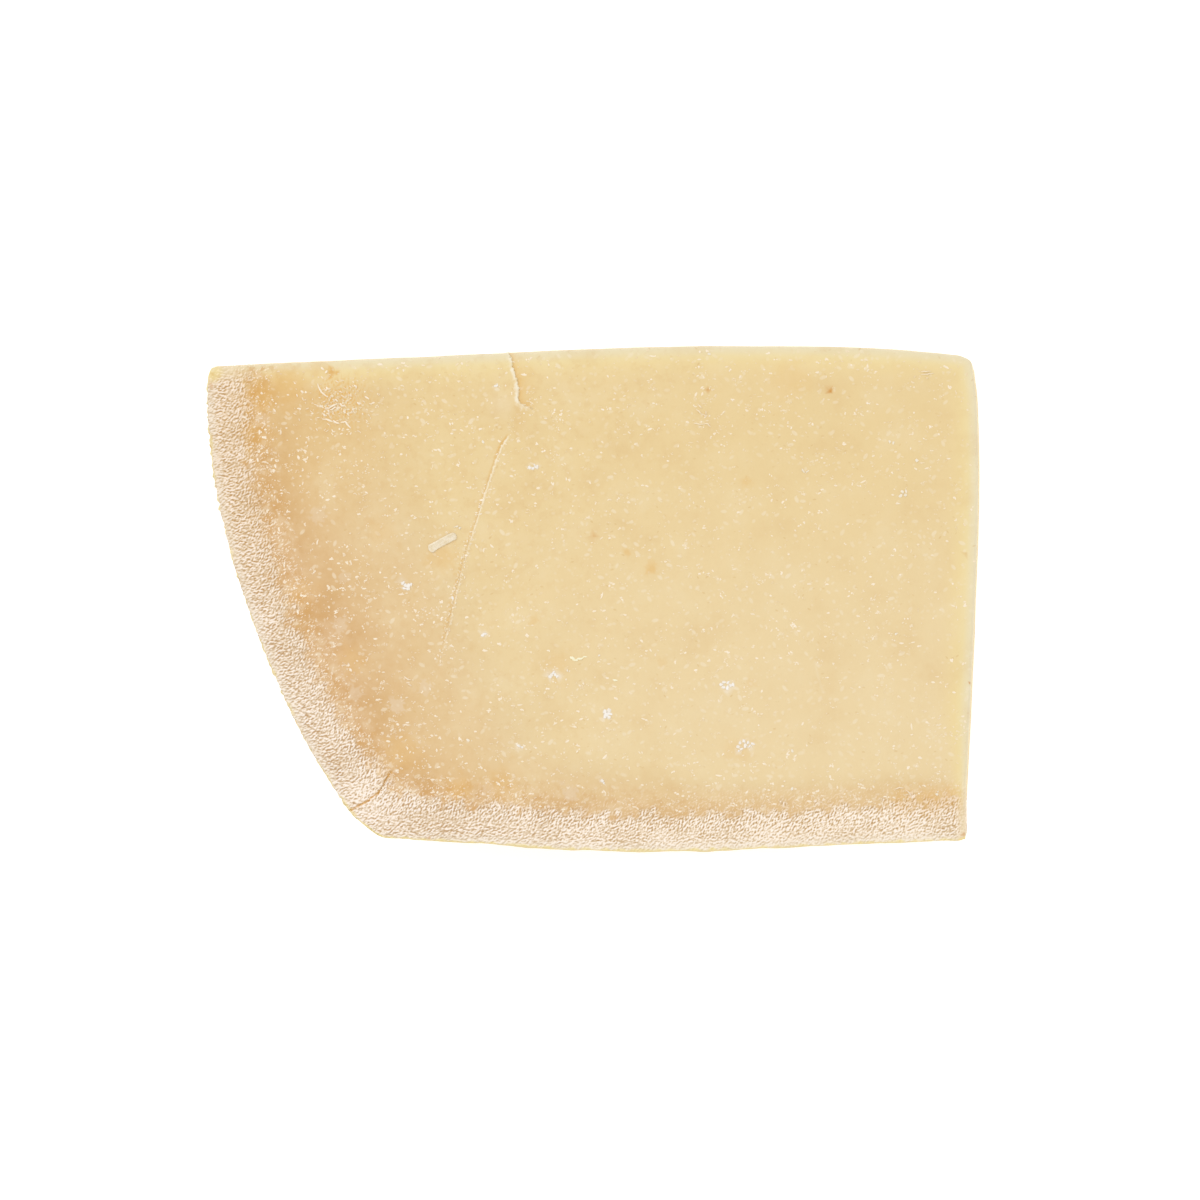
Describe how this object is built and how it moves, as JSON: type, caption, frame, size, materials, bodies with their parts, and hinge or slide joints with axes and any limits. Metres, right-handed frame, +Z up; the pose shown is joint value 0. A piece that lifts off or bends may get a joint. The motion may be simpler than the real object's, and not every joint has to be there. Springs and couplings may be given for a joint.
{
  "type": "hard cheese wedge",
  "caption": "Wedge of hard grating cheese lying on a radial cut, with a thick natural rind round the heel and along one flat side.",
  "frame": {"origin": "middle of the bounding box, on the radial cut that the wedge lies on", "axes": "+X from the rind heel towards the wheel's centre, +Y from the wheel's flat side towards the cut at half height, +Z up"},
  "size_m": [0.1476, 0.0964, 0.0389],
  "materials": {
    "cheese": "dull, slightly waxy cut face with a crumbly rind band"
  },
  "bodies": {
    "root": {"cheese_chunk": "cheese"}
  },
  "joints": []
}
